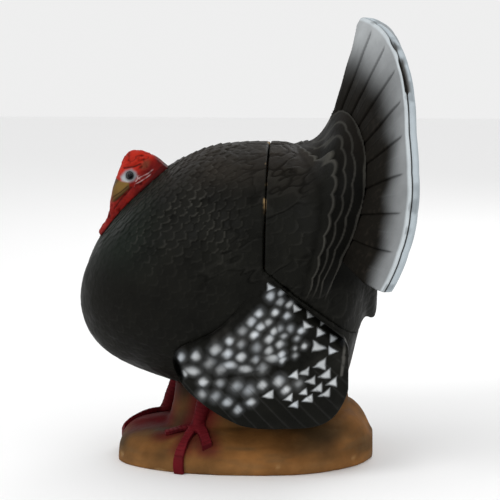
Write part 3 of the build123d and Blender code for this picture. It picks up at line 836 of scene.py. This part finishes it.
def make_wing(side_name, turn):
    node = f"{side_name}_wing"
    piece = dense(node, f"{node}_feathers", 0.0016, relax=8)
    places, normals = points_of(piece)
    x, z = places[:, 0] * MM, places[:, 2] * MM
    outer = ramp(normals[:, 1] * turn, 0.15, 0.5)
    upper, band_gap, small, flight, blade = wing_feathers(x, z)
    white = dots(x, z) * outer
    relief = outer * (upper * 0.0013 * small + (1 - upper) * 0.0016 * flight - 0.0012)
    relief -= outer * 0.0016 * (1 - ramp(band_gap, 0.6, 4.0))
    relief += outer * 0.0012 * cloud(places, 0.035, 96) + 0.0005 * white
    moved = places + normals * relief[:, None]
    front_gap = np.minimum(to_line(x, z, WING_FRONT), to_line(x, z, WING_TOP))
    moved[:, 1] = lower_edge(moved, outer, front_gap, turn)
    put_points(piece, moved)
    colour = blend_to(all_over(BLACK, places), WING_DUST, 0.5 * ramp(cloud(places, 0.03, 97), 0.1, 0.8))
    # painted highlight along the wing's rear edge
    colour = blend_to(colour, TRAIL_EDGE_HIGHLIGHT, near_line(x, z, WING_REAR, 0.5, 3.0) * 0.4)
    colour = blend_to(colour, QUILL_GREY, (1 - upper) * (1 - ramp(blade, 0.05, 0.25)) * 0.5)
    chalk = blend_to(all_over(CHALK, places), BLUE_CHALK, ramp(cloud(places, 0.02, 98), -0.2, 0.6))
    colour = blend_to(colour, chalk, white)
    # painted shade in the low parts of the feathers, less under the white dots
    hollow = 1 - ramp(np.where(upper > 0.5, small, flight), 0.05, 0.5)
    paint(piece, colour, 1 - 0.35 * outer * hollow * (1 - 0.6 * white))
    finish_piece(piece, "front", node, FEATHER_PAINT)


make_wing("left", -1)
make_wing("right", 1)


# ---------------------------------------------------------------- the ground base and the legs
# Left leg, then right: the shank's top and ankle, the toes' tips (x, y), and the width and
# strength of the red spray round its foot
LEGS = (
    ((-0.058, -0.060, 0.128), (-0.075, -0.061, 0.054),
     ((-0.124, -0.074), (-0.103, -0.146), (-0.056, -0.126)), 0.030, 0.80),
    ((-0.104, 0.058, 0.136), (-0.134, 0.060, 0.050),
     ((-0.198, 0.026), (-0.178, 0.092), (-0.128, 0.116)), 0.046, 1.00),
)
PEDESTAL_X, PEDESTAL_REACH = 0.017, 0.17
SCALE_PITCH = 0.0062
EARTH, DARK_EARTH, CLAY = (0.200, 0.088, 0.026), (0.034, 0.023, 0.011), (0.29, 0.145, 0.052)
STREAK_EARTH, SHADOW_EARTH, CHIP_FOAM = (0.11, 0.062, 0.026), (0.022, 0.015, 0.009), (0.46, 0.30, 0.14)
# the light crimson is a painted highlight where the legs face up
CRIMSON, DARK_CRIMSON, TOP_HIGHLIGHT_CRIMSON = (0.092, 0.006, 0.009), (0.026, 0.003, 0.004), (0.17, 0.016, 0.021)


def leg_spray(places):
    """The crimson that went past the legs and feet on to the base."""
    x, y, z = places.T
    spray = np.zeros(len(places))
    for top, ankle, _, _, _ in LEGS:
        run = np.array(ankle) - np.array(top)
        share = np.clip(((places - top) @ run) / (run @ run), 0, 1.25)
        gap = np.linalg.norm(places - top - share[:, None] * run, axis=1)
        spray = np.maximum(spray, 1 - ramp(gap, 0.012, 0.044))
    for _, ankle, tips, width, strength in LEGS:
        for tip in tips:
            on_toe = 1 - ramp(to_segment(x, y, ankle, tip), 0.007, width)
            spray = np.maximum(spray, strength * on_toe * ramp(z, 0.020, 0.034))
    far_foot = ramp(-x, 0.088, 0.130) * ramp(y, -0.060, -0.010) * ramp(z, 0.028, 0.044)
    return np.maximum(spray, far_foot) * (0.90 + 0.20 * cloud(places, 0.02, 119))


def make_ground():
    piece = dense("ground_base", "ground_base_foam", 0.0030)
    places, normals = points_of(piece)
    x, y, z = places.T
    chips = ramp(noise(places, 0.016, 107), 0.45, 0.75) * (1 - ramp(z, 0.010, 0.020))
    pits = ramp(noise(places, 0.006, 108), 0.62, 0.85) * 0.0010
    beside = ramp(np.hypot(x - PEDESTAL_X, y * 1.5) - PEDESTAL_REACH, 0, 0.02)
    free = (1 - ramp(z, 0.070, 0.085)) * (0.35 + 0.65 * beside)     # clear of the bird
    relief = 0.0022 * cloud(places, 0.085, 101) + 0.0007 * cloud(places, 0.012, 104)
    relief = relief * free - 0.0022 * chips - pits * free
    off_floor = ramp(z, 0.0008, 0.008) * ramp(normals[:, 2], -0.9, -0.5)
    carve(piece, places, normals, relief * off_floor)
    bands, streaks = places * np.array([1.0, 1.0, 2.4]), places * np.array([0.45, 0.45, 2.6])
    dark = ramp(cloud(bands, 0.10, 111) + 0.55 * ramp(-x, -0.03, 0.10), -0.10, 0.70)
    colour = blend_to(all_over(EARTH, places), DARK_EARTH, 0.90 * dark)
    colour = blend_to(colour, STREAK_EARTH, 0.7 * ramp(cloud(streaks, 0.020, 114), -0.1, 0.7))
    rim = (1 - ramp(z, 0.010, 0.026)) * (0.6 + 0.4 * cloud(places, 0.03, 117))
    colour = blend_to(colour, CLAY, 0.45 * rim)
    colour = blend_to(colour, SHADOW_EARTH, 0.92 * ramp(z, 0.070, 0.110))
    colour = blend_to(colour, CRIMSON, np.clip(0.95 * leg_spray(places), 0, 1))
    colour = blend_to(colour, CHIP_FOAM, chips * 0.45)
    paint(piece, colour, np.ones(len(places)))
    finish_piece(piece, "front", "ground_base", GROUND_PAINT)


def make_leg(side_name, leg):
    node = f"{side_name}_leg"
    piece = dense(node, f"{node}_scales", 0.0011, relax=8)
    places, normals = points_of(piece)
    top, ankle = np.array(leg[0]), np.array(leg[1])
    along = ((places - top) @ (ankle - top)) / np.linalg.norm(ankle - top)
    from_ankle = np.hypot(places[:, 0] - ankle[0], places[:, 1] - ankle[1])
    on_shank = ramp(places[:, 2], ankle[2] + 0.006, ankle[2] + 0.016)
    place = np.where(on_shank > 0.5, along, from_ankle) / SCALE_PITCH
    ring = np.abs(place - np.floor(place) - 0.5) * 2
    relief = 0.0007 * (1 - ramp(ring, 0.70, 1.0)) + 0.0009 * np.sin(from_ankle / 0.011) * (1 - on_shank)
    relief += 0.0008 * cloud(places, 0.014, 121) - 0.0010
    free = ramp(normals[:, 2], -0.7, -0.2) * ramp(places[:, 2], 0.002, 0.006)
    carve(piece, places, normals, relief * free)
    dark = 0.8 * ramp(cloud(places, 0.022, 123), -0.1, 0.8)
    colour = blend_to(all_over(CRIMSON, places), DARK_CRIMSON, dark)
    # painted highlight where the legs face up
    colour = blend_to(colour, TOP_HIGHLIGHT_CRIMSON, 0.4 * ramp(normals[:, 2], 0.4, 0.9))
    # painted shade in the grooves between the scales
    paint(piece, colour, 1 - 0.25 * ramp(ring, 0.6, 1.0))
    finish_piece(piece, "front", node, LEG_PAINT)


make_ground()
make_leg("left", LEGS[0])
make_leg("right", LEGS[1])


# ---------------------------------------------------------------- the pieces kept as the CAD made them
WOOD_DARK, WOOD_LIGHT = (0.30, 0.17, 0.075), (0.56, 0.38, 0.20)
CORE_DARK, CORE_LIGHT = (0.30, 0.20, 0.095), (0.50, 0.36, 0.18)
PLASTIC_DARK, PLASTIC_LIGHT = (0.012, 0.012, 0.013), (0.030, 0.030, 0.032)
IRIS_DARK, IRIS_LIGHT, PUPIL = (0.050, 0.050, 0.052), (0.085, 0.085, 0.088), (0.002, 0.002, 0.003)
EVEN = (1, 1, 1)


def grained(name, dark, light, stretch, scale, rough, bump_depth):
    """Streaks or specks in two tones that run along the stretched axis, with matching bump."""
    material, nodes, links, shader = new_material(name)
    squeeze = nodes.new("ShaderNodeMapping")
    squeeze.inputs["Scale"].default_value = stretch
    links.new(nodes.new("ShaderNodeTexCoord").outputs["Object"], squeeze.inputs["Vector"])
    speck = noise_node(nodes, links, squeeze.outputs["Vector"], scale, 6.0)
    tones = nodes.new("ShaderNodeValToRGB")
    for stop, position, colour in zip(tones.color_ramp.elements, (0.35, 0.65), (dark, light)):
        stop.position, stop.color = position, (*colour, 1)
    links.new(speck, tones.inputs["Fac"])
    links.new(tones.outputs["Color"], shader.inputs["Base Color"])
    worn = range_node(nodes, links, speck, 0.0, 1.0, rough - 0.08, rough + 0.10)
    links.new(worn, shader.inputs["Roughness"])
    links.new(bump_node(nodes, links, speck, bump_depth, 0.0006), shader.inputs["Normal"])
    return material


def eye_gloss():
    """A black pupil in a dull grey iris, under a little varnish."""
    material = grained("eye_gloss", IRIS_DARK, IRIS_LIGHT, EVEN, 300, 0.30, 0.0)
    nodes, links = material.node_tree.nodes, material.node_tree.links
    shader = nodes["Principled BSDF"]
    shader.inputs["Specular IOR Level"].default_value = 0.15
    flat = nodes.new("ShaderNodeVectorMath")
    flat.operation = "MULTIPLY"
    flat.inputs[1].default_value = (1, 0, 1)      # both eyes are seen as one, from the side
    links.new(nodes.new("ShaderNodeTexCoord").outputs["Object"], flat.inputs[0])
    gap = nodes.new("ShaderNodeVectorMath")
    gap.operation = "DISTANCE"
    gap.inputs[1].default_value = (EYE.x, 0, EYE.z)
    links.new(flat.outputs["Vector"], gap.inputs[0])
    mix = nodes.new("ShaderNodeMix")
    mix.data_type = "RGBA"
    links.new(range_node(nodes, links, gap.outputs["Value"], 0.0034, 0.0052, 0, 1), mix.inputs["Factor"])
    mix.inputs[6].default_value = (*PUPIL, 1)     # its colour A, and B is the iris
    links.new(shader.inputs["Base Color"].links[0].from_socket, mix.inputs[7])
    links.new(mix.outputs[2], shader.inputs["Base Color"])
    return material


def give(material, *names):
    """Puts a material on CAD nodes."""
    for name in names:
        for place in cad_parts[name].material_slots:
            place.material = material


for grain, stretch, node in (
    ("x", (0.08, 1, 1), "body_dowels"),
    ("y", (1, 0.08, 1), "wing_pegs"),
    ("z", (1, 1, 0.08), "base_dowels"),
    ("neck", (0.15, 1, 0.15), "neck_dowel"),
):
    give(grained(f"dowel_grain_{grain}", WOOD_DARK, WOOD_LIGHT, stretch, 420, 0.6, 0.5), node)
give(grained("core_foam_cells", CORE_DARK, CORE_LIGHT, EVEN, 380, 0.8, 0.9), "vital_core")
give(
    grained("black_plastic", PLASTIC_DARK, PLASTIC_LIGHT, EVEN, 160, 0.38, 0.15),
    "front_stake_sleeve", "rear_stake_sleeve", "tail_tang",
)
give(eye_gloss(), "left_eye", "right_eye")


# ---------------------------------------------------------------- floor, light and camera
def aim_at(thing, aim):
    """Turns a light or the camera, which look along their own -Z, to a place."""
    thing.rotation_mode = "QUATERNION"
    thing.rotation_quaternion = (Vector(aim) - thing.location).to_track_quat("-Z", "Y")


def floor():
    far = 6.0
    mesh = bpy.data.meshes.new("floor")
    mesh.from_pydata([(-far, -far, 0), (far, -far, 0), (far, far, 0), (-far, far, 0)], [], [(0, 1, 2, 3)])
    material, _, _, shader = new_material("floor_paint")
    shader.inputs["Base Color"].default_value = (0.93, 0.93, 0.93, 1)
    shader.inputs["Roughness"].default_value = 0.7
    mesh.materials.append(material)
    piece = link(mesh, "floor")


def area_light(name, place, aim, size, power):
    light = bpy.data.lights.new(name, "AREA")
    light.shape, light.size, light.energy = "DISK", size, power
    lamp = bpy.data.objects.new(name, light)
    bpy.context.scene.collection.objects.link(lamp)
    lamp.location = place
    aim_at(lamp, aim)


def studio_light():
    area_light("key", (-1.3, -1.7, 2.4), (0, 0, 0.3), 1.4, 30)
    area_light("fill", (1.9, -1.6, 1.1), (0, 0, 0.3), 1.8, 5)
    area_light("back", (0.8, 2.2, 2.0), (0, 0, 0.35), 1.6, 16)
    world = bpy.data.worlds.new("studio")
    world.use_nodes = True
    background = world.node_tree.nodes["Background"]
    background.inputs["Color"].default_value = (1, 1, 1, 1)
    background.inputs["Strength"].default_value = 0.86
    bpy.context.scene.world = world
    bpy.context.scene.view_settings.view_transform = "Standard"


def camera():
    distance, height, azimuth = 3.0, 0.77, radians(3)
    data = bpy.data.cameras.new("camera")
    data.sensor_width, data.lens = 36.0, 145.0
    cam = bpy.data.objects.new("camera", data)
    bpy.context.scene.collection.objects.link(cam)
    cam.location = (distance * sin(azimuth), -distance * cos(azimuth), height)
    aim_at(cam, (0.0, 0.0, 0.314))
    bpy.context.scene.camera = cam


floor()
studio_light()
camera()
